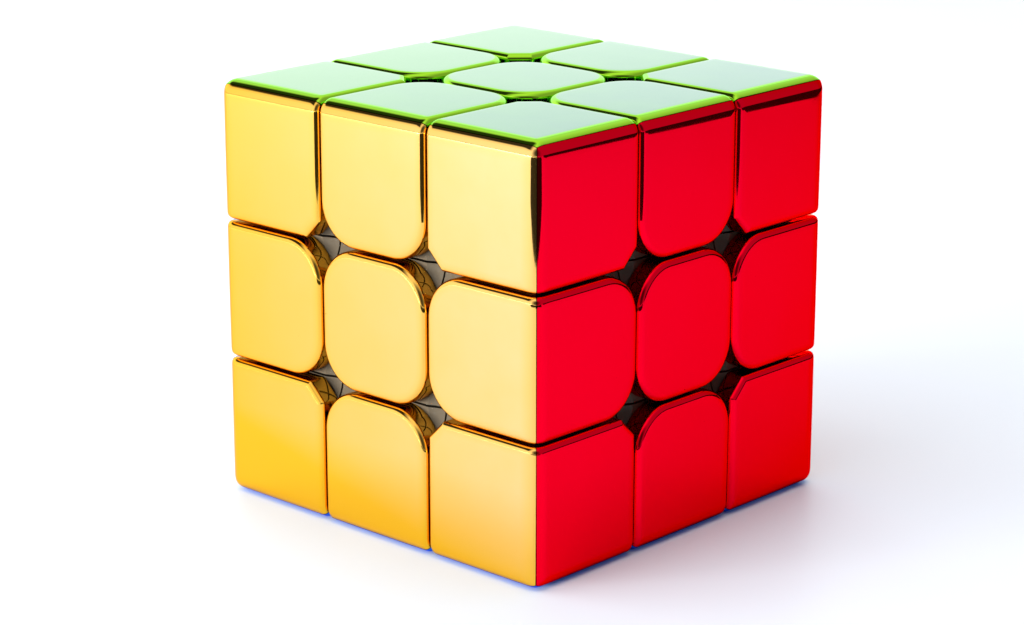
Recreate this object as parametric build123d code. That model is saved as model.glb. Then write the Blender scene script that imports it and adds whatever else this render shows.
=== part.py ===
from build123d import *
import os
from math import cos, radians, sin, sqrt

# Mirror-plated 3x3x3 twist cube: a sprung core, six centres, twelve edges and eight corners.
# Millimetres, +Z up, origin at the middle of the cube, which is the middle of its core.
# Front is -Y, back is +Y, right is +X, left is -X.

# ---------------------------------------------------------------- driving dimensions
CUBE = 57.0                      # outside width of the whole cube
HALF = CUBE / 2
PITCH = CUBE / 3                 # width of one cubie's cell
CUT = PITCH / 2                  # height of the cut between the middle and an outer layer
LAYER_GAP = 0.15                 # the bodies on each side of a cut stand this far back from it
TILE_GAP = 0.20                  # and the plated caps stand this far back

CAP_WALL = 1.2                   # thickness of a plated cap
CAP_DEPTH = 3.0                  # how far a cap's skirt reaches down the side of its cubie
CAP_FIT = 0.05                   # play between a cap and the body that it is pushed on to
CAP_REST = 0.1                   # gap between the end of the skirt and the shoulder of the body
MITRE_SEAM = 0.12                # open seam where two caps meet along a cube edge
TILE_CORNER_R = 5.7              # big rounded corners of the centre and edge tiles
CORNER_CHAMFER = 2.5             # flat across the innermost corner of a corner tile
CORNER_CHAMFER_R = 0.9           # small rounds at the two ends of that flat
TILE_EDGE_R = 0.8                # round along a tile's edge next to another tile
CUBE_EDGE_R = 2.0                # round along the cube's twelve outer edges

OPENING_R = 5.0                  # round dish in the bodies behind the opening where four tiles meet
OPENING_DEPTH = 3.8              # depth of that dish's lowest point below the face
CAVITY_START = 13.2              # outer part of the hollow inside an edge or corner body
CAVITY_END = 25.9
EDGE_CAVITY_HALF = 5.8
DEEP_CAVITY_START = 11.2         # wider inner part of that hollow
DEEP_CAVITY_END = 19.5
EDGE_DEEP_CAVITY_HALF = 7.8
WINDOW_R = 3.5                   # round window from that hollow to the inside of each cap

FOOT_SPHERE_R = 14.0             # hooking feet slide inside this sphere
NECK_ANGLE = 62.0                # half angle of the cone round each layer's necks
FOOT_PLANE = 4.4                 # feet reach in to this far from the core's middle planes
HUB_SPHERE_R = 8.4               # feet stay outside this sphere, clear of the core

STALK_R = 4.1                    # round stalk of a centre, which turns on an arm of the core
STALK_END = 7.8                  # height of the stalk's inner end
SPRING_BORE_R = 2.75
SPRING_FLOOR = 10.6
POCKET_START = 17.0              # wide pocket under the centre cap, for the screwdriver
POCKET_R = 7.0
SCREW_HOLE_R = 1.32

HUB_R = 5.6
ARM_R = 3.6
ARM_END = 7.6
ARM_BORE_R = 1.3
ARM_BORE_START = 2.3
ARM_CHAMFER = 0.3

SCREW_R = 1.25
SCREW_START = 2.6
SCREW_HEAD_R = 2.55
SCREW_HEAD_START = 16.4
SCREW_HEAD_END = 18.0
SCREW_HEAD_ROUND = 0.5
RECESS_LENGTH = 3.0
RECESS_WIDTH = 0.7
RECESS_DEPTH = 1.0

SPRING_MEAN_R = 2.1
SPRING_WIRE_R = 0.28
SPRING_COILS = 4
SPRING_PLAY = 0.01

FAR = 45.0                       # beyond the outside of the cube
OVERSHOOT = 1.0                  # a cut or a joined block runs this far past the surface it meets
EDGE_OVERSHOOT = 6.0             # an outer tile runs this far past the cube before it is trimmed

DIRECTIONS = {
    "up": Vector(0, 0, 1),
    "down": Vector(0, 0, -1),
    "front": Vector(0, -1, 0),
    "back": Vector(0, 1, 0),
    "right": Vector(1, 0, 0),
    "left": Vector(-1, 0, 0),
}
SIDES = ["front", "back", "right", "left"]


# ---------------------------------------------------------------- helpers
def turn(up, right):
    """Turn about the middle of the cube that takes +Z to one direction and +X to another."""
    return Plane(origin=(0, 0, 0), x_dir=right, z_dir=up).location


def turned(shape, up, right):
    return turn(up, right) * shape


def block(x, y, z):
    """Box given by its two ends along each axis."""
    size = (x[1] - x[0], y[1] - y[0], z[1] - z[0])
    middle = ((x[0] + x[1]) / 2, (y[0] + y[1]) / 2, (z[0] + z[1]) / 2)
    return Pos(*middle) * Box(*size)


def post(radius, z, x=0.0, y=0.0):
    """Upright cylinder given by its two ends."""
    return Pos(x, y, (z[0] + z[1]) / 2) * Cylinder(radius, z[1] - z[0])


def joined(shapes):
    total = shapes[0]
    for shape in shapes[1:]:
        total = total + shape
    return total


def cut_away(shape, tools):
    for tool in tools:
        shape = shape - tool
    return shape


# ---------------------------------------------------------------- the cuts between layers
def on_sphere(radius, height):
    """Point (distance from the axis, height) of a sphere at a given height."""
    return sqrt(radius**2 - height**2), height


def on_neck(radius, grow):
    """Point where the neck cone, moved outward by grow, meets a sphere."""
    angle = radians(NECK_ANGLE)
    along = sqrt(radius**2 - grow**2)
    return along * sin(angle) + grow * cos(angle), along * cos(angle) - grow * sin(angle)


def half_way(p, q, radius):
    """Point of a sphere's outline half way between two others."""
    x = p[0] + q[0]
    y = p[1] + q[1]
    scale = radius / sqrt(x**2 + y**2)
    return x * scale, y * scale


def up_layer(grow):
    """Everything that turns with the top face, grown all round by a small distance.

    Its underside is a surface of revolution about Z, so the layer can turn: a plane outside, a
    cone round the necks, a shelf and an inner plane for the feet, and a ball round the core.
    """
    angle = radians(NECK_ANGLE)
    hub = HUB_SPHERE_R - grow
    shelf = FOOT_SPHERE_R + grow
    hub_top = (0, hub)
    hub_side = on_sphere(hub, FOOT_PLANE - grow)
    shelf_side = on_sphere(shelf, FOOT_PLANE - grow)
    shelf_neck = on_neck(shelf, grow)
    along = (CUT - grow + grow * sin(angle)) / cos(angle)
    neck_top = (along * sin(angle) + grow * cos(angle), CUT - grow)
    outline = Curve() + [
        ThreePointArc(hub_top, half_way(hub_top, hub_side, hub), hub_side),
        Line(hub_side, shelf_side),
        ThreePointArc(shelf_side, half_way(shelf_side, shelf_neck, shelf), shelf_neck),
        Line(shelf_neck, neck_top),
        Polyline(neck_top, (FAR, CUT - grow), (FAR, FAR), (0, FAR), hub_top),
    ]
    return revolve(Plane.XZ * make_face(outline), Axis.Z)


def layers(grow):
    """The six turning layers by name."""
    upper = up_layer(grow)
    found = {}
    for name, direction in DIRECTIONS.items():
        across = DIRECTIONS["right"] if name in ("up", "down", "front", "back") else DIRECTIONS["up"]
        found[name] = turned(upper, direction, across)
    return found


# ---------------------------------------------------------------- plated caps
def rounded_block(x, y, z, corners, radius):
    """Block with some of its upright edges rounded, given by where they stand in plan."""
    solid = block(x, y, z)
    chosen = []
    for edge in solid.edges().filter_by(Axis.Z):
        middle = edge.center()
        if any(abs(middle.X - cx) + abs(middle.Y - cy) < 1e-6 for cx, cy in corners):
            chosen.append(edge)
    return fillet(chosen, radius)


def outer_side(inset):
    """A tile's side along the cube's edge: inset from it, or past it where it is trimmed later."""
    return HALF - inset if inset else HALF + EDGE_OVERSHOOT


def centre_tile(inset, z):
    half = PITCH / 2 - TILE_GAP - inset
    corners = [(sx * half, sy * half) for sx in (-1, 1) for sy in (-1, 1)]
    return rounded_block((-half, half), (-half, half), z, corners, TILE_CORNER_R - inset)


def edge_tile(inset, z):
    """Tile on the top of the edge cubie between the up and right faces."""
    near = CUT + TILE_GAP + inset
    far = outer_side(inset)
    half = PITCH / 2 - TILE_GAP - inset
    corners = [(near, -half), (near, half)]
    return rounded_block((near, far), (-half, half), z, corners, TILE_CORNER_R - inset)


def corner_tile(inset, z):
    """Tile on the top of the corner cubie where x, y and z are all positive."""
    near = CUT + TILE_GAP + inset
    far = outer_side(inset)
    leg = CORNER_CHAMFER - inset * (2 - sqrt(2))
    solid = block((near, far), (near, far), z)
    inmost = solid.edges().filter_by(Axis.Z).sort_by(lambda edge: edge.center().X + edge.center().Y)[0]
    solid = chamfer(inmost, leg)
    ends = solid.edges().filter_by(Axis.Z).sort_by(lambda edge: edge.center().X + edge.center().Y)[:2]
    return fillet(ends, CORNER_CHAMFER_R)


# turns that carry a cubie's top on to its other outer faces
SWAP_UP_RIGHT = turn(up=(1, 0, 0), right=(0, 0, 1))
CYCLE = turn(up=(1, 0, 0), right=(0, 1, 0))
CENTRE_FACES = [Location()]
EDGE_FACES = [Location(), SWAP_UP_RIGHT]
CORNER_FACES = [Location(), CYCLE, CYCLE * CYCLE]


def above_mitre(x_dir):
    """Half space on the upper side of the mitre between the top face and a side face."""
    side = 2 * FAR
    tilt = turn(up=(-x_dir[0], -x_dir[1], 1), right=(x_dir[0], x_dir[1], 1))
    return tilt * Pos(0, 0, side / 2 + MITRE_SEAM / 2) * Box(2 * side, 2 * side, side)


def softened(tile):
    """Tile with its rim rounded on the sides that face other tiles."""
    rim = [edge for edge in tile.faces().sort_by(Axis.Z)[-1].edges()
           if max(edge.center().X, edge.center().Y) < HALF]
    return fillet(rim, TILE_EDGE_R)


def top_cap(tile, mitred_sides):
    """Hollow plated cap on the top of a cubie, cut back where it meets the caps beside it."""
    shell = softened(tile(0, (HALF - CAP_DEPTH, HALF)))
    rounded_cube = fillet(Box(CUBE, CUBE, CUBE).edges(), CUBE_EDGE_R)
    cap = shell & rounded_cube
    cap = cap - tile(CAP_WALL, (HALF - CAP_DEPTH - OVERSHOOT, HALF - CAP_WALL))
    for side in mitred_sides:
        cap = cap & above_mitre(side)
    return cap


# ---------------------------------------------------------------- bodies of the cubies
def envelope(tile, faces, outer_axes):
    """Room for a body: its cell below the caps, and a raised part that fills each cap."""
    shoulder = HALF - CAP_DEPTH - CAP_REST
    spans = [(0, shoulder) if axis in outer_axes else (-CUT, CUT) for axis in "xyz"]
    below = block(*spans)
    raised = tile(CAP_WALL + CAP_FIT, (shoulder - OVERSHOOT, HALF - CAP_WALL - CAP_FIT))
    return joined([below] + [face * raised for face in faces])


def opening_hollows():
    """Round dishes behind the four openings of the top face."""
    height = HALF - OPENING_DEPTH + OPENING_R
    return [Pos(sx * CUT, sy * CUT, height) * Sphere(OPENING_R) for sx in (-1, 1) for sy in (-1, 1)]


def centre_base(inside, outside):
    base = cut_away(inside["up"], [outside[side] for side in SIDES])
    base = base & envelope(centre_tile, CENTRE_FACES, "z")
    base = base - Sphere(FOOT_SPHERE_R + LAYER_GAP)
    base = base + post(STALK_R, (STALK_END, FOOT_SPHERE_R + 2 * OVERSHOOT))
    bores = [
        post(SCREW_HOLE_R, (0, SPRING_FLOOR + OVERSHOOT)),
        post(SPRING_BORE_R, (SPRING_FLOOR, HALF)),
        post(POCKET_R, (POCKET_START, HALF)),
    ]
    return cut_away(base, bores + opening_hollows())


def edge_body(inside, outside):
    body = inside["up"] & envelope(edge_tile, EDGE_FACES, "xz") & inside["right"]
    body = cut_away(body, [outside["front"], outside["back"]])
    cavity = (CAVITY_START, CAVITY_END)
    deep = (DEEP_CAVITY_START, DEEP_CAVITY_END)
    body = body - block(cavity, (-EDGE_CAVITY_HALF, EDGE_CAVITY_HALF), cavity)
    body = body - block(deep, (-EDGE_DEEP_CAVITY_HALF, EDGE_DEEP_CAVITY_HALF), deep)
    window = post(WINDOW_R, (CAVITY_END - OVERSHOOT, HALF), x=PITCH)
    hollows = [window] + opening_hollows()
    return cut_away(body, [face * hollow for face in EDGE_FACES for hollow in hollows])


def corner_body(inside, outside):
    body = inside["up"] & envelope(corner_tile, CORNER_FACES, "xyz") & inside["right"] & inside["back"]
    cavity = (CAVITY_START, CAVITY_END)
    deep = (DEEP_CAVITY_START, DEEP_CAVITY_END)
    body = body - block(cavity, cavity, cavity) - block(deep, deep, deep)
    window = post(WINDOW_R, (CAVITY_END - OVERSHOOT, HALF), x=PITCH, y=PITCH)
    hollows = [window] + opening_hollows()
    return cut_away(body, [face * hollow for face in CORNER_FACES for hollow in hollows])


# ---------------------------------------------------------------- core, screws and springs
def core():
    hub = Sphere(HUB_R)
    arm = chamfer(post(ARM_R, (0, ARM_END)).edges().group_by(Axis.Z)[-1], ARM_CHAMFER)
    bore = post(ARM_BORE_R, (ARM_BORE_START, ARM_END + OVERSHOOT))
    arms = [turned(arm, d, perpendicular(d)) for d in DIRECTIONS.values()]
    bores = [turned(bore, d, perpendicular(d)) for d in DIRECTIONS.values()]
    return cut_away(joined([hub] + arms), bores)


def perpendicular(direction):
    return DIRECTIONS["up"] if abs(direction.Z) < 0.5 else DIRECTIONS["right"]


def screw():
    shank = post(SCREW_R, (SCREW_START, SCREW_HEAD_START + SCREW_HEAD_ROUND))
    head = post(SCREW_HEAD_R, (SCREW_HEAD_START, SCREW_HEAD_END))
    head = fillet(head.edges().group_by(Axis.Z)[-1], SCREW_HEAD_ROUND)
    across = (-RECESS_LENGTH / 2, RECESS_LENGTH / 2)
    thin = (-RECESS_WIDTH / 2, RECESS_WIDTH / 2)
    depth = (SCREW_HEAD_END - RECESS_DEPTH, SCREW_HEAD_END + OVERSHOOT)
    return cut_away(shank + head, [block(across, thin, depth), block(thin, across, depth)])


def spring():
    start = SPRING_FLOOR + SPRING_WIRE_R + SPRING_PLAY
    height = SCREW_HEAD_START - SPRING_WIRE_R - SPRING_PLAY - start
    path = Helix(pitch=height / SPRING_COILS, height=height, radius=SPRING_MEAN_R, center=(0, 0, start))
    section = Plane(origin=path @ 0, z_dir=path % 0) * Circle(SPRING_WIRE_R)
    return sweep(section, path=path, is_frenet=True)


# ---------------------------------------------------------------- write the pieces
def save(shape, node):
    shape.label = node
    export_step(shape, f"parts/{node}.step")


def right_handed(a, b, c):
    return DIRECTIONS[a].cross(DIRECTIONS[b]).dot(DIRECTIONS[c]) > 0


def main():
    os.makedirs("parts", exist_ok=True)
    inside = layers(-LAYER_GAP)
    outside = layers(LAYER_GAP)

    save(core(), "core")
    one_screw = screw()
    screws = [turned(one_screw, d, perpendicular(d)) for d in DIRECTIONS.values()]
    save(Compound(children=screws), "tension_screws")

    base = centre_base(inside, outside)
    cap = top_cap(centre_tile, [])
    coil = spring()
    for name, direction in DIRECTIONS.items():
        across = perpendicular(direction)
        save(turned(coil, direction, across), f"{name}_spring")
        save(turned(base, direction, across), f"{name}_centre_base")
        save(turned(cap, direction, across), f"{name}_centre_cap")

    body = edge_body(inside, outside)
    cap = top_cap(edge_tile, [(1, 0)])
    pairs = [(z, side) for z in ("up", "down") for side in SIDES]
    pairs += [(y, x) for y in ("front", "back") for x in ("right", "left")]
    for a, b in pairs:
        place = turn(DIRECTIONS[a], DIRECTIONS[b])
        caps = [place * face * cap for face in EDGE_FACES]
        save(place * body, f"edge_{a}_{b}_body")
        save(Compound(children=caps), f"edge_{a}_{b}_caps")

    body = corner_body(inside, outside)
    cap = top_cap(corner_tile, [(1, 0), (0, 1)])
    for a in ("up", "down"):
        for b in ("front", "back"):
            for c in ("right", "left"):
                # the cubie's x, y and z go to three directions that turn the same way round
                right = c if right_handed(c, b, a) else b
                place = turn(DIRECTIONS[a], DIRECTIONS[right])
                caps = [place * face * cap for face in CORNER_FACES]
                save(place * body, f"corner_{a}_{b}_{c}_body")
                save(Compound(children=caps), f"corner_{a}_{b}_{c}_caps")


main()
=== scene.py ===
import math
import random

import bpy
from mathutils import Matrix, Vector


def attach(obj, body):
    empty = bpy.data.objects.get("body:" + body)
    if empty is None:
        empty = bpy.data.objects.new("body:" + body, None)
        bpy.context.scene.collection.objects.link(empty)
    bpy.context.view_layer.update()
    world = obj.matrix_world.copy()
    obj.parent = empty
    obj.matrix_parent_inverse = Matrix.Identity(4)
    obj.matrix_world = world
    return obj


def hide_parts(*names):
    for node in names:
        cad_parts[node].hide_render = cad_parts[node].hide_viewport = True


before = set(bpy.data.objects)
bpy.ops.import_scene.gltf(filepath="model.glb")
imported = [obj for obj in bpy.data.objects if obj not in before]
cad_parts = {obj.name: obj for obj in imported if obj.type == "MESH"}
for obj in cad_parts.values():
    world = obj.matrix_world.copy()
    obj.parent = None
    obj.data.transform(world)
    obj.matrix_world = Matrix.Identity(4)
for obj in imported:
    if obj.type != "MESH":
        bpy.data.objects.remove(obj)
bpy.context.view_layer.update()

MM = 0.001
HALF = 28.5 * MM                 # half the cube's width
CUT = 9.5 * MM                   # from the middle of the cube to the cut between two layers
TILE_GAP = 0.2 * MM              # a cap stands this far back from the cut
CAP_WALL = 1.1 * MM
CAP_DEPTH = 3.0 * MM
MITRE_SEAM = 0.16 * MM
TILE_CORNER_R = 5.7 * MM
CORNER_CHAMFER = 2.5 * MM
CORNER_CHAMFER_R = 0.9 * MM
TILE_EDGE_R = 0.85 * MM
CUBE_EDGE_R = 2.0 * MM
CROWN = 0.03 * MM                # how far a tile's face falls from its middle to its sides
CROWN_LIMIT = 1.8                # the fall stops at this many times CROWN, near a tile's corners
TILT_DEG = 0.12                  # caps are never pushed on perfectly square
HIGHLIGHT_FADE_REACH = 1.6                 # tiles turn from the pale middle, a painted highlight, to the deep tint over a rim and this many rim radii in from it

DIRECTIONS = {
    "up": Vector((0, 0, 1)),
    "down": Vector((0, 0, -1)),
    "front": Vector((0, -1, 0)),
    "back": Vector((0, 1, 0)),
    "right": Vector((1, 0, 0)),
    "left": Vector((-1, 0, 0)),
}
COLOUR_OF = {
    "up": "green", "down": "blue", "front": "gold",
    "back": "orange", "right": "red", "left": "silver",
}
EDGES = [(z, side) for z in ("up", "down") for side in ("front", "back", "right", "left")]
EDGES += [(y, x) for y in ("front", "back") for x in ("right", "left")]
CORNERS = [(z, y, x) for z in ("up", "down") for y in ("front", "back") for x in ("right", "left")]


# ---------------------------------------------------------------- tile shapes
# A tile is drawn in plan, with its outer face at z = 0 and its skirt below. Its low x and low y
# sides always face other tiles. A high side is either the same or one of the cube's own edges.
NEAR = CUT + TILE_GAP
SIDE = CUT - TILE_GAP
ARC_STEPS = 14
SIDE_STEPS = 26
RIM_STEPS = 9
FACE_STEPS = 10
MITRE_PASSES = 40                # each pass about halves the distance to the mitre plane
SHARP_EDGE_DEG = 38


class Tile:
    def __init__(self, low, high, round_corners, chamfered, edge_x, edge_y):
        self.low = low
        self.high = high
        self.round_corners = round_corners    # low-low, high-low, high-high, low-high
        self.chamfered = chamfered            # the low-low corner is a short flat
        self.edge_x = edge_x                  # the high x side is an edge of the cube
        self.edge_y = edge_y


CENTRE_TILE = Tile((-SIDE, -SIDE), (SIDE, SIDE), (True, True, True, True), False, False, False)
EDGE_TILE = Tile((NEAR, -SIDE), (HALF, SIDE), (True, False, False, True), False, True, False)
CORNER_TILE = Tile((NEAR, NEAR), (HALF, HALF), (False, False, False, False), True, True, True)


def arc(centre, radius, start, end, steps):
    points = []
    for i in range(steps + 1):
        angle = math.radians(start + (end - start) * i / steps)
        points.append((centre[0] + radius * math.cos(angle), centre[1] + radius * math.sin(angle)))
    return points


def chamfered_corner(x, y, inset):
    """The two small rounds and the flat between them, from the low x side to the low y side."""
    leg = CORNER_CHAMFER - inset * (2 - math.sqrt(2))
    radius = CORNER_CHAMFER_R - 0.5 * inset
    back = radius * math.tan(math.radians(22.5))
    first = arc((x + radius, y + leg + back), radius, 180, 225, ARC_STEPS // 2)
    second = arc((x + leg + back, y + radius), radius, 225, 270, ARC_STEPS // 2)
    return first + second


def unmoved(x, y, on_x, on_y):
    return x, y


def outline(tile, inset, edge_inset, place=unmoved):
    """Closed outline, as (x, y, on a gap side), drawn in from gap sides and from cube edges.

    place moves the points that lie on a cube edge, told by on_x and on_y.
    """
    x0 = tile.low[0] + inset
    y0 = tile.low[1] + inset
    x1 = tile.high[0] - (edge_inset if tile.edge_x else inset)
    y1 = tile.high[1] - (edge_inset if tile.edge_y else inset)
    radius = TILE_CORNER_R - inset
    corners = []
    for i, (x, y) in enumerate([(x0, y0), (x1, y0), (x1, y1), (x0, y1)]):
        if i == 0 and tile.chamfered:
            corners.append(chamfered_corner(x, y, inset))
        elif tile.round_corners[i]:
            middle_x = x + radius if i in (0, 3) else x - radius
            middle_y = y + radius if i in (0, 1) else y - radius
            corners.append(arc((middle_x, middle_y), radius, 180 + 90 * i, 270 + 90 * i, ARC_STEPS))
        else:
            corners.append([place(x, y, tile.edge_x and i in (1, 2), tile.edge_y and i in (2, 3))])
    points = []
    for i, corner in enumerate(corners):
        points += [(x, y, True) for x, y in corner]
        start = Vector(corner[-1])
        end = Vector(corners[(i + 1) % 4][0])
        on_x = tile.edge_x and i == 1
        on_y = tile.edge_y and i == 2
        for k in range(1, SIDE_STEPS):
            # the points crowd towards both ends of a side, where the rim curls
            share = 0.5 - 0.5 * math.cos(math.pi * k / SIDE_STEPS)
            x, y = start.lerp(end, share)
            if on_x or on_y:
                x, y = place(x, y, on_x, on_y)
            points.append((x, y, not (on_x or on_y)))
    if tile.edge_x and tile.edge_y:
        # the corner between two cube edges isn't on a gap side
        far = max(range(len(points)), key=lambda n: points[n][0] + points[n][1])
        points[far] = (points[far][0], points[far][1], False)
    return points


def gap_distance(tile, x, y):
    """Distance from a point of the tile to its nearest side that faces another tile."""
    from_x = x - tile.low[0]
    from_y = y - tile.low[1]
    if not tile.edge_x:
        from_x = min(from_x, tile.high[0] - x)
    if not tile.edge_y:
        from_y = min(from_y, tile.high[1] - y)
    if tile.chamfered:
        return min(from_x, from_y, (from_x + from_y - CORNER_CHAMFER) / math.sqrt(2))
    if from_x < TILE_CORNER_R and from_y < TILE_CORNER_R:
        return TILE_CORNER_R - math.hypot(TILE_CORNER_R - from_x, TILE_CORNER_R - from_y)
    return min(from_x, from_y)


def roll_off(distance, radius):
    """How far a rounded rim has dropped at this distance from its side."""
    reach = min(max(radius - distance, 0.0), radius)
    return radius - math.sqrt(radius**2 - reach**2)


def depth_at(tile, x, y):
    """Depth of a tile's surface below its face plane."""
    depth = roll_off(gap_distance(tile, x, y), TILE_EDGE_R)
    if tile.edge_x:
        depth += roll_off(HALF - x, CUBE_EDGE_R)
    if tile.edge_y:
        depth += roll_off(HALF - y, CUBE_EDGE_R)
    away_x = (x - (tile.low[0] + tile.high[0]) / 2) / CUT
    away_y = (y - (tile.low[1] + tile.high[1]) / 2) / CUT
    return depth + CROWN * min(away_x**2 + away_y**2, CROWN_LIMIT)


def mark_rim(tile, mesh):
    """Store on each vertex how near it is to a side: 1 at the side, falling to 0 inwards."""
    values = []
    for vertex in mesh.vertices:
        share = gap_distance(tile, vertex.co.x, vertex.co.y) / (HIGHLIGHT_FADE_REACH * TILE_EDGE_R)
        if tile.edge_x:
            share = min(share, (HALF - vertex.co.x) / (HIGHLIGHT_FADE_REACH * CUBE_EDGE_R))
        if tile.edge_y:
            share = min(share, (HALF - vertex.co.y) / (HIGHLIGHT_FADE_REACH * CUBE_EDGE_R))
        values.append(1 - min(max(share, 0.0), 1.0))
    mesh.attributes.new("rim", "FLOAT", "POINT").data.foreach_set("value", values)


def tile_mesh(tile, name):
    """Tile as one closed shell: face, rounded rim, and a skirt on the sides that face other tiles."""

    def to_mitre(x, y, on_x, on_y):
        """Where the surface meets the 45 degree plane between two of the cube's faces."""
        for _ in range(MITRE_PASSES):
            depth = depth_at(tile, x, y) + MITRE_SEAM / 2
            if on_x:
                x += 0.5 * (HALF - depth - x)
            if on_y:
                y += 0.5 * (HALF - depth - y)
        return x, y

    rim = outline(tile, 0.0, 0.0, to_mitre)
    flat = outline(tile, TILE_EDGE_R, CUBE_EDGE_R)
    skirt = outline(tile, 0.0, CAP_DEPTH + MITRE_SEAM / 2)
    middle = Vector(((tile.low[0] + tile.high[0]) / 2, (tile.low[1] + tile.high[1]) / 2))

    verts = []
    for k in range(RIM_STEPS + 1):
        share = 1 - math.cos(math.radians(90 * k / RIM_STEPS))
        for start, end in zip(rim, flat):
            x = start[0] + (end[0] - start[0]) * share
            y = start[1] + (end[1] - start[1]) * share
            verts.append((x, y, -depth_at(tile, x, y)))
    for k in range(1, FACE_STEPS):
        share = k / FACE_STEPS
        for x, y, _ in flat:
            x += (middle.x - x) * share
            y += (middle.y - y) * share
            verts.append((x, y, -depth_at(tile, x, y)))
    verts.append((middle.x, middle.y, -depth_at(tile, middle.x, middle.y)))

    count = len(rim)
    rings = RIM_STEPS + FACE_STEPS
    faces = []
    for k in range(rings - 1):
        for i in range(count):
            j = (i + 1) % count
            faces.append((k * count + i, k * count + j, (k + 1) * count + j, (k + 1) * count + i))
    last = (rings - 1) * count
    for i in range(count):
        faces.append((last + i, last + (i + 1) % count, len(verts) - 1))

    foot = {}
    for i, (x, y, on_gap) in enumerate(skirt):
        if on_gap:
            foot[i] = len(verts)
            verts.append((x, y, -CAP_DEPTH))
    for i in range(count):
        j = (i + 1) % count
        if i in foot and j in foot:
            faces.append((foot[i], foot[j], j, i))

    mesh = bpy.data.meshes.new(name)
    mesh.from_pydata(verts, [], faces)
    shell = bpy.data.objects.new(name, mesh)
    bpy.context.scene.collection.objects.link(shell)
    thicken = shell.modifiers.new("wall", "SOLIDIFY")
    thicken.thickness = CAP_WALL
    thicken.offset = -1
    bpy.context.view_layer.update()
    solid = bpy.data.meshes.new_from_object(shell.evaluated_get(bpy.context.evaluated_depsgraph_get()))
    bpy.data.objects.remove(shell)
    solid.name = name
    mark_rim(tile, solid)
    solid.shade_smooth()
    solid.set_sharp_from_angle(angle=math.radians(SHARP_EDGE_DEG))
    return solid


# ---------------------------------------------------------------- materials
def node_tree(name):
    material = bpy.data.materials.new(name)
    material.use_nodes = True
    nodes = material.node_tree.nodes
    return material, nodes, material.node_tree.links, nodes["Principled BSDF"]


def noise(nodes, links, coords, scale, detail=2.0):
    texture = nodes.new("ShaderNodeTexNoise")
    texture.inputs["Scale"].default_value = scale
    texture.inputs["Detail"].default_value = detail
    links.new(coords, texture.inputs["Vector"])
    return texture.outputs["Fac"]


def mapped(nodes, links, value, low, high, to_low, to_high):
    node = nodes.new("ShaderNodeMapRange")
    for key, number in zip(("From Min", "From Max", "To Min", "To Max"), (low, high, to_low, to_high)):
        node.inputs[key].default_value = number
    links.new(value, node.inputs["Value"])
    return node.outputs["Result"]


def mixed(nodes, links, factor, a, b):
    """Colour between a and b. Each is a colour or a socket."""
    node = nodes.new("ShaderNodeMix")
    node.data_type = "RGBA"
    links.new(factor, node.inputs["Factor"])
    for socket, value in ((node.inputs[6], a), (node.inputs[7], b)):
        if isinstance(value, tuple):
            socket.default_value = (*value, 1.0)
        else:
            links.new(value, socket)
    return node.outputs[2]


def bumped(nodes, links, height, distance, normal=None):
    node = nodes.new("ShaderNodeBump")
    node.inputs["Strength"].default_value = 1.0
    node.inputs["Distance"].default_value = distance
    links.new(height, node.inputs["Height"])
    if normal is not None:
        links.new(normal, node.inputs["Normal"])
    return node.outputs["Normal"]


def plated(name, deep, pale, grazing, lacquer, highlight_fade_span):
    """Vacuum-plated plastic: a tinted mirror under lacquer, with dust.

    The tint is deep at the rims. In the middles it is pale, a painted highlight, and it is turned deep by
    painted shade where the painted shade attribute is high.
    grazing is its tint seen edge on. The last argument is the stretch of the rim value over which the painted
    highlight fades to deep.
    """
    material, nodes, links, shader = node_tree(name)
    coords = nodes.new("ShaderNodeTexCoord").outputs["Object"]
    cloud = noise(nodes, links, coords, 130, 4)
    wave = noise(nodes, links, coords, 70, 1)
    grain = noise(nodes, links, coords, 2600, 3)
    dust = nodes.new("ShaderNodeTexVoronoi")
    dust.inputs["Scale"].default_value = 210
    links.new(coords, dust.inputs["Vector"])
    speck = mapped(nodes, links, dust.outputs["Distance"], 0.018, 0.030, 1.0, 0.0)
    rim = nodes.new("ShaderNodeAttribute")
    rim.attribute_name = "rim"
    # painted highlight: a tile's pale middle fades to the deep tint over its rims, in both the base colour
    # and the edge-on tint
    painted_highlight_fade = mapped(nodes, links, rim.outputs["Fac"], *highlight_fade_span, 0.0, 1.0)
    # painted shade and painted reflection: the tint is deeper low down and to the cube's left, paler to its
    # right and top
    painted_shade_share = nodes.new("ShaderNodeAttribute")
    painted_shade_share.attribute_name = "painted_shade_share"
    toned = mixed(nodes, links, painted_shade_share.outputs["Fac"], pale, deep)
    clouded = mixed(nodes, links, mapped(nodes, links, cloud, 0.35, 0.75, 0.0, 0.15), toned, deep)
    colour = mixed(nodes, links, painted_highlight_fade, clouded, deep)
    dust_colour = tuple(0.25 * c for c in deep)
    dulled = mixed(nodes, links, speck, colour, dust_colour)
    links.new(dulled, shader.inputs["Base Color"])
    shader.inputs["Metallic"].default_value = 1.0
    links.new(mixed(nodes, links, painted_highlight_fade, grazing, deep), shader.inputs["Specular Tint"])
    shader.inputs["Coat Weight"].default_value = lacquer
    shader.inputs["Coat Roughness"].default_value = 0.06
    links.new(mapped(nodes, links, cloud, 0.3, 0.8, 0.03, 0.07), shader.inputs["Roughness"])
    normal = bumped(nodes, links, wave, 0.00004)
    normal = bumped(nodes, links, grain, 0.0000004, normal)
    links.new(normal, shader.inputs["Normal"])
    return material


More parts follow.
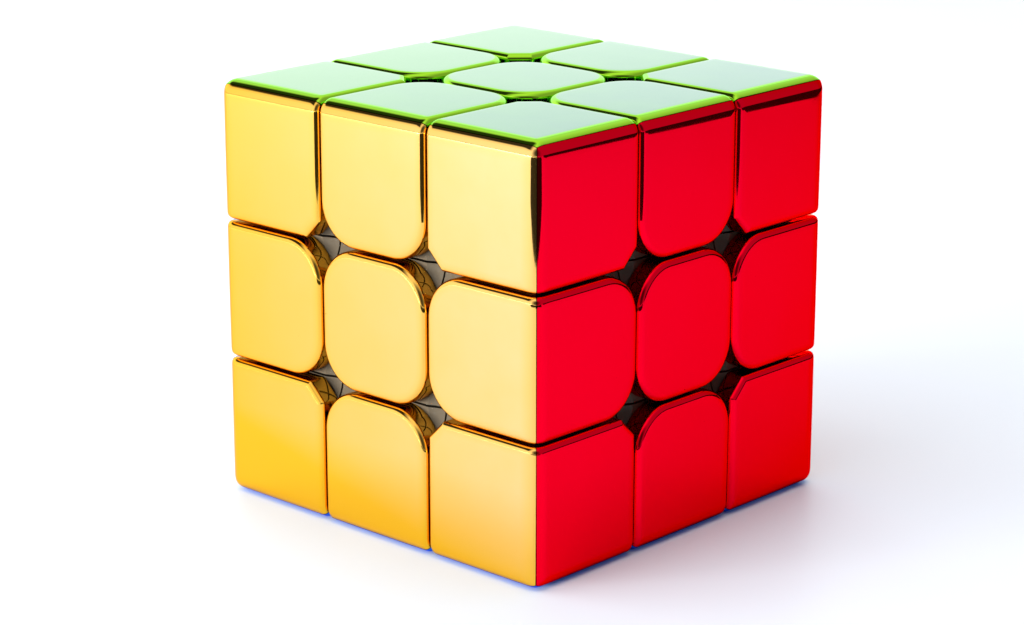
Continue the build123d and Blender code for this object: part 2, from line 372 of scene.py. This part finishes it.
def moulded(name, colour, roughness, scale, gloss=0.5):
    """Moulded plastic with a fine spark-eroded grain and slight colour drift."""
    material, nodes, links, shader = node_tree(name)
    coords = nodes.new("ShaderNodeTexCoord").outputs["Object"]
    drift = noise(nodes, links, coords, 140, 3)
    grain = noise(nodes, links, coords, scale, 4)
    shade = mixed(nodes, links, drift, tuple(0.85 * c for c in colour), tuple(1.15 * c for c in colour))
    links.new(shade, shader.inputs["Base Color"])
    links.new(mapped(nodes, links, grain, 0.3, 0.7, roughness - 0.06, roughness + 0.08),
              shader.inputs["Roughness"])
    shader.inputs["Specular IOR Level"].default_value = gloss
    links.new(bumped(nodes, links, grain, 0.00001), shader.inputs["Normal"])
    return material


def steel(name, colour, roughness):
    """Drawn or turned steel with a fine grain and faint stains."""
    material, nodes, links, shader = node_tree(name)
    coords = nodes.new("ShaderNodeTexCoord").outputs["Object"]
    grain = noise(nodes, links, coords, 3000, 4)
    stain = noise(nodes, links, coords, 300, 3)
    links.new(mixed(nodes, links, stain, tuple(0.8 * c for c in colour), colour), shader.inputs["Base Color"])
    shader.inputs["Metallic"].default_value = 1.0
    links.new(mapped(nodes, links, grain, 0.2, 0.8, roughness - 0.05, roughness + 0.1),
              shader.inputs["Roughness"])
    links.new(bumped(nodes, links, grain, 0.000003), shader.inputs["Normal"])
    return material


# stretches of the rim value over which the painted highlight of a tile's middle fades to the deep tint
BROAD_HIGHLIGHT_FADE = (0.1, 1.5)
NARROW_HIGHLIGHT_FADE = (0.32, 0.48)
# for each colour: the deep tint, the pale one (a painted highlight), the one seen edge on, the lacquer and
# the stretch over which the painted highlight fades
PLATING = {
    "gold": plated("gold_plating", (0.95, 0.50, 0.006), (1.0, 0.655, 0.30), (1.0, 0.68, 0.30),
                   0.35, BROAD_HIGHLIGHT_FADE),
    "red": plated("red_plating", (0.98, 0.0, 0.014), (1.0, 0.0, 0.024), (1.0, 0.0, 0.03),
                  0.0, BROAD_HIGHLIGHT_FADE),
    "green": plated("green_plating", (0.36, 0.76, 0.01), (0.16, 0.37, 0.07), (0.56, 0.60, 0.80),
                    0.5, NARROW_HIGHLIGHT_FADE),
    "blue": plated("blue_plating", (0.02, 0.22, 0.92), (0.03, 0.24, 0.94), (0.1, 0.4, 1.0),
                   0.3, BROAD_HIGHLIGHT_FADE),
    "silver": plated("silver_plating", (0.40, 0.41, 0.43), (0.52, 0.53, 0.56), (0.80, 0.80, 0.82),
                     0.3, BROAD_HIGHLIGHT_FADE),
    "orange": plated("orange_plating", (0.88, 0.20, 0.01), (0.95, 0.27, 0.03), (1.0, 0.4, 0.1),
                     0.3, BROAD_HIGHLIGHT_FADE),
}
DARK_BODY = moulded("dark_moulded_plastic", (0.050, 0.040, 0.027), 0.34, 1800, 0.15)
CORE_PLASTIC = moulded("core_plastic", (0.045, 0.045, 0.05), 0.45, 1500)
SCREW_STEEL = steel("zinc_plated_steel", (0.60, 0.60, 0.62), 0.28)
SPRING_STEEL = steel("spring_wire", (0.66, 0.66, 0.68), 0.22)


def dress(node, material):
    node.data.materials.clear()
    node.data.materials.append(material)


for node_name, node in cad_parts.items():
    if node_name.endswith(("_body", "_centre_base")):
        dress(node, DARK_BODY)
    elif node_name == "core":
        dress(node, CORE_PLASTIC)
    elif node_name == "tension_screws":
        dress(node, SCREW_STEEL)
    elif node_name.endswith("_spring"):
        dress(node, SPRING_STEEL)


# ---------------------------------------------------------------- place the tiles
TEMPLATES = {
    "centre": tile_mesh(CENTRE_TILE, "centre_tile"),
    "edge": tile_mesh(EDGE_TILE, "edge_tile"),
    "corner": tile_mesh(CORNER_TILE, "corner_tile"),
}
chance = random.Random(57)


def facing(up, across):
    """Matrix that turns +Z to one direction and +X to another."""
    side = up.cross(across)
    return Matrix((across, side, up)).transposed().to_4x4()


# how much paler the tiles are painted rightwards and upwards, per half width of the cube, a painted
# reflection of the brighter floor, and how fast they are painted deeper below a height, painted shade from
# the dim floor near the cube
PALER_RIGHTWARDS = 0.36
PALER_UPWARDS = 0.08
DEEPER_DOWNWARDS = 1.5
DEEPER_BELOW = -0.55


def mark_painted_shade(tile):
    """Store the painted shade: palest on the cube's right, a painted reflection, deepest on its left and low
    down, painted shade.
    """
    values = []
    for vertex in tile.data.vertices:
        place = tile.matrix_world @ vertex.co / HALF
        paleness = 0.5 + PALER_RIGHTWARDS * place.x + PALER_UPWARDS * place.z
        paleness -= DEEPER_DOWNWARDS * max(DEEPER_BELOW - place.z, 0.0)
        values.append(1 - min(max(paleness, 0.0), 1.0))
    tile.data.attributes.new("painted_shade_share", "FLOAT", "POINT").data.foreach_set("value", values)


def place_tile(kind, face, across, node, body):
    name = f"{node[:-1]}_{face}" if kind != "centre" else f"{face}_centre_tile"
    mesh = TEMPLATES[kind].copy()
    mesh.materials.append(PLATING[COLOUR_OF[face]])
    tile = bpy.data.objects.new(name, mesh)
    bpy.context.scene.collection.objects.link(tile)
    middle = Vector((0, 0, 0))
    if kind != "centre":
        middle.x = 2 * CUT
    if kind == "corner":
        middle.y = 2 * CUT
    tilt = Matrix.Rotation(math.radians(chance.uniform(-TILT_DEG, TILT_DEG)), 4, "X")
    tilt = tilt @ Matrix.Rotation(math.radians(chance.uniform(-TILT_DEG, TILT_DEG)), 4, "Y")
    about_middle = Matrix.Translation(middle) @ tilt @ Matrix.Translation(-middle)
    tile.matrix_world = facing(DIRECTIONS[face], across) @ Matrix.Translation((0, 0, HALF)) @ about_middle
    # painted shade and painted reflection, by where the tile sits on the cube
    mark_painted_shade(tile)
    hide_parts(node)
    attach(tile, body)
    return tile


for face, direction in DIRECTIONS.items():
    across = DIRECTIONS["right"] if face not in ("left", "right") else DIRECTIONS["up"]
    place_tile("centre", face, across, f"{face}_centre_cap", f"{face}_centre")
for a, b in EDGES:
    for face, other in ((a, b), (b, a)):
        place_tile("edge", face, DIRECTIONS[other], f"edge_{a}_{b}_caps", f"edge_{a}_{b}")
for corner in CORNERS:
    name = "corner_" + "_".join(corner)
    for face in corner:
        first, second = [DIRECTIONS[other] for other in corner if other != face]
        # the tile's x and y go to the two other faces, the same way round as its own axes
        across = first if first.cross(second).dot(DIRECTIONS[face]) > 0 else second
        place_tile("corner", face, across, f"{name}_caps", name)
for mesh in TEMPLATES.values():
    bpy.data.meshes.remove(mesh)


# ---------------------------------------------------------------- floor, light and camera
def floor_material():
    material, nodes, links, shader = node_tree("pale_floor")
    coords = nodes.new("ShaderNodeTexCoord").outputs["Object"]
    cloud = noise(nodes, links, coords, 6, 3)
    links.new(mixed(nodes, links, cloud, (0.84, 0.90, 0.97), (0.86, 0.92, 0.99)), shader.inputs["Base Color"])
    shader.inputs["Specular IOR Level"].default_value = 0.2
    links.new(mapped(nodes, links, cloud, 0.3, 0.7, 0.38, 0.46), shader.inputs["Roughness"])
    return material


def black_card():
    material, nodes, links, shader = node_tree("black_card")
    shader.inputs["Base Color"].default_value = (0.004, 0.004, 0.004, 1.0)
    shader.inputs["Roughness"].default_value = 0.9
    return material


def sheet(name, corners, material):
    """Flat backdrop piece given by its four corners."""
    mesh = bpy.data.meshes.new(name)
    mesh.from_pydata(corners, [], [(0, 1, 2, 3)])
    mesh.materials.append(material)
    piece = bpy.data.objects.new(name, mesh)
    bpy.context.scene.collection.objects.link(piece)
    return piece


def only_reflected(piece):
    """Keep a card out of the picture and off the light, so that only mirrors show it."""
    piece.visible_camera = False
    piece.visible_diffuse = False
    piece.visible_shadow = False


CAMERA_PLACE = Vector((0.24112, -0.26056, 0.09898))
CAMERA_AIM = Vector((-0.00219, 0.0, -0.00431))
CAMERA_LENS = 96.4

# the floor, a black card on it towards the camera, and a low black card standing at the back right
FLOOR_REACH = 4.0
floor_corners = []
for sx, sy in ((-1, -1), (1, -1), (1, 1), (-1, 1)):
    floor_corners.append((sx * FLOOR_REACH, sy * FLOOR_REACH, -HALF))
sheet("floor", floor_corners, floor_material())

BLACK = black_card()
towards_camera = Vector((CAMERA_PLACE.x, CAMERA_PLACE.y, 0)).normalized()
sideways = Vector((-towards_camera.y, towards_camera.x, 0))
FRONT_CARD_NEAR = (0.185, 0.13)   # distance from the cube's middle, and half width there
FRONT_CARD_FAR = (0.60, 0.40)
near, near_half = FRONT_CARD_NEAR
far, far_half = FRONT_CARD_FAR
front_card = []
for along, across in ((near, -near_half), (near, near_half), (far, far_half), (far, -far_half)):
    front_card.append(towards_camera * along + sideways * across + Vector((0, 0, -HALF + MM)))
only_reflected(sheet("front_card", front_card, BLACK))

back_right = Vector((1, 1, 0)).normalized()
along_card = Vector((1, -1, 0)).normalized()
LOW_CARD_DISTANCE = 0.30
LOW_CARD_HALF = 0.30
LOW_CARD_FOOT = 0.001
LOW_CARD_TOP = 0.056
low_card = []
for across, height in (
    (-LOW_CARD_HALF, LOW_CARD_FOOT), (LOW_CARD_HALF, LOW_CARD_FOOT),
    (LOW_CARD_HALF, LOW_CARD_TOP), (-LOW_CARD_HALF, LOW_CARD_TOP),
):
    low_card.append(back_right * LOW_CARD_DISTANCE + along_card * across + Vector((0, 0, height - HALF)))
only_reflected(sheet("low_card", low_card, BLACK))


def soft_light(name, place, size, power, colour=(1, 1, 1)):
    light = bpy.data.lights.new(name, "AREA")
    light.shape = "RECTANGLE"
    light.size, light.size_y = size
    light.energy = power
    light.color = colour
    lamp = bpy.data.objects.new(name, light)
    lamp.location = place
    lamp.rotation_euler = (-Vector(place)).to_track_quat("-Z", "Y").to_euler()
    lamp.visible_glossy = False
    bpy.context.scene.collection.objects.link(lamp)
    return lamp


soft_light("key_softbox", (-0.60, -0.52, 0.66), (0.75, 0.65), 3.6)
soft_light("front_softbox", (-0.25, -0.90, 0.02), (0.6, 0.07), 42.0)
soft_light("top_softbox", (0.0, 0.0, 1.00), (0.9, 0.9), 3.8)

camera_data = bpy.data.cameras.new("camera")
camera_data.lens = CAMERA_LENS
camera_data.clip_start = 0.01
camera = bpy.data.objects.new("camera", camera_data)
camera.location = CAMERA_PLACE
camera.rotation_euler = (CAMERA_AIM - CAMERA_PLACE).to_track_quat("-Z", "Y").to_euler()
bpy.context.scene.collection.objects.link(camera)
bpy.context.scene.camera = camera

# a tent that is bright low down, brightest at the back left, dimmer on the right, dark high up at
# the front left, and dim behind the camera
world = bpy.data.worlds.new("studio")
bpy.context.scene.world = world
world.use_nodes = True
sky = world.node_tree.nodes
wires = world.node_tree.links
direction = sky.new("ShaderNodeTexCoord").outputs["Generated"]


def facing_amount(towards, start, end):
    """0 to 1 as a direction comes round to face a given one."""
    node = sky.new("ShaderNodeVectorMath")
    node.operation = "DOT_PRODUCT"
    node.inputs[1].default_value = towards.normalized()
    wires.new(direction, node.inputs[0])
    return mapped(sky, wires, node.outputs["Value"], start, end, 0.0, 1.0)


def both(a, b):
    node = sky.new("ShaderNodeMath")
    node.operation = "MULTIPLY"
    wires.new(a, node.inputs[0])
    wires.new(b, node.inputs[1])
    return node.outputs["Value"]


LOW_SKY = (1.32, 1.33, 1.36)
BACK_LEFT_SKY = (1.70, 1.74, 1.80)
HIGH_SKY = (1.05, 1.05, 1.05)
RIGHT_SKY = (0.46, 0.46, 0.50)
RIGHT_GLOW = (0.16, 0.17, 0.22)    # what the right of the tent lights, against what mirrors see there
DARK_SKY = (0.04, 0.04, 0.04)
BEHIND_CAMERA = (0.08, 0.08, 0.09)
tent = mixed(sky, wires, facing_amount(Vector((-0.66, 0.70, 0.26)), 0.4, 0.9), LOW_SKY, BACK_LEFT_SKY)
raised = facing_amount(Vector((0, 0, 1)), math.sin(math.radians(23)), math.sin(math.radians(30)))
tent = mixed(sky, wires, raised, tent, HIGH_SKY)
rightwards = facing_amount(Vector((1, 0.6, 0)), 0.1, 0.6)
tent = mixed(sky, wires, rightwards, tent, RIGHT_SKY)
lighting_ray = sky.new("ShaderNodeLightPath").outputs["Is Diffuse Ray"]
tent = mixed(sky, wires, both(rightwards, lighting_ray), tent, RIGHT_GLOW)
high = facing_amount(Vector((0, 0, 1)), math.sin(math.radians(31)), math.sin(math.radians(35)))
leftwards = facing_amount(Vector((-1, 0, 0)), 0.0, 0.3)
forwards = facing_amount(Vector((0, -1, 0)), -0.26, -0.10)
tent = mixed(sky, wires, both(both(high, leftwards), forwards), tent, DARK_SKY)
tent = mixed(sky, wires, facing_amount(CAMERA_PLACE, 0.80, 0.97), tent, BEHIND_CAMERA)
wires.new(tent, sky["Background"].inputs["Color"])

bpy.context.scene.view_settings.view_transform = "Standard"
